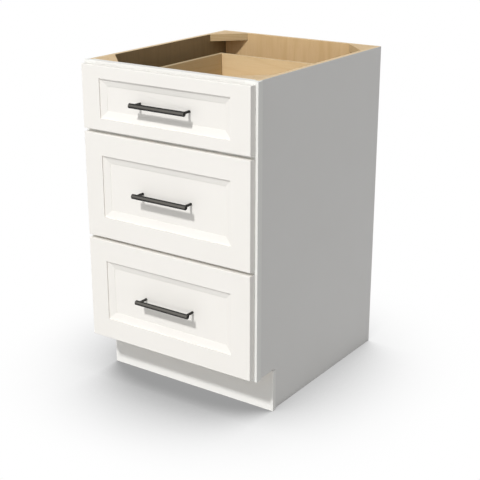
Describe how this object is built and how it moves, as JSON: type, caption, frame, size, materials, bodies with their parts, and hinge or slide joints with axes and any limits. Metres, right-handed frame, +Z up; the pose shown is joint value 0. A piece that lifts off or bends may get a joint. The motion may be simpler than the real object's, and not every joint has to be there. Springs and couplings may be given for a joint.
{
  "type": "drawer base cabinet",
  "caption": "Framed kitchen base cabinet with panelled drawer fronts on telescopic slides, bar pulls, a toe recess and an open top with corner blocks.",
  "frame": {"origin": "on the floor, under the middle of the whole cabinet with its pulls", "axes": "+Z up, +X to the right of a person facing the drawers, -Y towards that person"},
  "size_m": [0.5334, 0.6588, 0.8763],
  "materials": {
    "white_paint": "satin off-white paint",
    "finished_side": "off-white outside, clear maple inside",
    "maple_plywood": "clear-coated maple plywood",
    "drawer_maple": "clear-coated maple",
    "pull_metal": "dark satin pewter",
    "slide_steel": "zinc plated",
    "screw_steel": "zinc plated",
    "bumper_rubber": "soft clear"
  },
  "bodies": {
    "cabinet": {"frame_stile_left": "white_paint", "frame_stile_right": "white_paint", "frame_rail_top": "white_paint", "frame_rail_upper": "white_paint", "frame_rail_lower": "white_paint", "frame_rail_bottom": "white_paint", "toe_kick_board": "white_paint", "back_panel": "maple_plywood", "bottom_panel": "maple_plywood", "corner_block_front_left": "maple_plywood", "corner_block_front_right": "maple_plywood", "corner_block_rear_left": "maple_plywood", "corner_block_rear_right": "maple_plywood", "slide_spacers": "maple_plywood", "side_panel_left": "finished_side", "side_panel_right": "finished_side", "front_bumpers": "bumper_rubber", "top_slide_outer": "slide_steel", "middle_slide_outer": "slide_steel", "bottom_slide_outer": "slide_steel"},
    "top_drawer": {"top_front_stiles": "white_paint", "top_front_rails": "white_paint", "top_front_panel": "white_paint", "top_box_front": "drawer_maple", "top_box_back": "drawer_maple", "top_box_left": "drawer_maple", "top_box_right": "drawer_maple", "top_box_bottom": "drawer_maple", "top_pull_bar": "pull_metal", "top_pull_posts": "pull_metal", "top_pull_screws": "screw_steel", "top_slide_inner": "slide_steel"},
    "top_slide": {"top_slide_middle": "slide_steel"},
    "middle_drawer": {"middle_front_stiles": "white_paint", "middle_front_rails": "white_paint", "middle_front_panel": "white_paint", "middle_box_front": "drawer_maple", "middle_box_back": "drawer_maple", "middle_box_left": "drawer_maple", "middle_box_right": "drawer_maple", "middle_box_bottom": "drawer_maple", "middle_pull_bar": "pull_metal", "middle_pull_posts": "pull_metal", "middle_pull_screws": "screw_steel", "middle_slide_inner": "slide_steel"},
    "middle_slide": {"middle_slide_middle": "slide_steel"},
    "bottom_drawer": {"bottom_front_stiles": "white_paint", "bottom_front_rails": "white_paint", "bottom_front_panel": "white_paint", "bottom_box_front": "drawer_maple", "bottom_box_back": "drawer_maple", "bottom_box_left": "drawer_maple", "bottom_box_right": "drawer_maple", "bottom_box_bottom": "drawer_maple", "bottom_pull_bar": "pull_metal", "bottom_pull_posts": "pull_metal", "bottom_pull_screws": "screw_steel", "bottom_slide_inner": "slide_steel"},
    "bottom_slide": {"bottom_slide_middle": "slide_steel"}
  },
  "joints": [
    {"name": "top_drawer_travel", "type": "slide", "parent": "cabinet", "child": "top_drawer", "axis": [0, -1, 0], "range_m": [0, 0.48]},
    {"name": "top_slide_travel", "type": "slide", "parent": "cabinet", "child": "top_slide", "axis": [0, -1, 0], "range_m": [0, 0.24]},
    {"name": "middle_drawer_travel", "type": "slide", "parent": "cabinet", "child": "middle_drawer", "axis": [0, -1, 0], "range_m": [0, 0.48]},
    {"name": "middle_slide_travel", "type": "slide", "parent": "cabinet", "child": "middle_slide", "axis": [0, -1, 0], "range_m": [0, 0.24]},
    {"name": "bottom_drawer_travel", "type": "slide", "parent": "cabinet", "child": "bottom_drawer", "axis": [0, -1, 0], "range_m": [0, 0.48]},
    {"name": "bottom_slide_travel", "type": "slide", "parent": "cabinet", "child": "bottom_slide", "axis": [0, -1, 0], "range_m": [0, 0.24]}
  ],
  "couplings": [
    {"joint": "top_slide_travel", "follows": "top_drawer_travel", "ratio": 0.5},
    {"joint": "middle_slide_travel", "follows": "middle_drawer_travel", "ratio": 0.5},
    {"joint": "bottom_slide_travel", "follows": "bottom_drawer_travel", "ratio": 0.5}
  ]
}
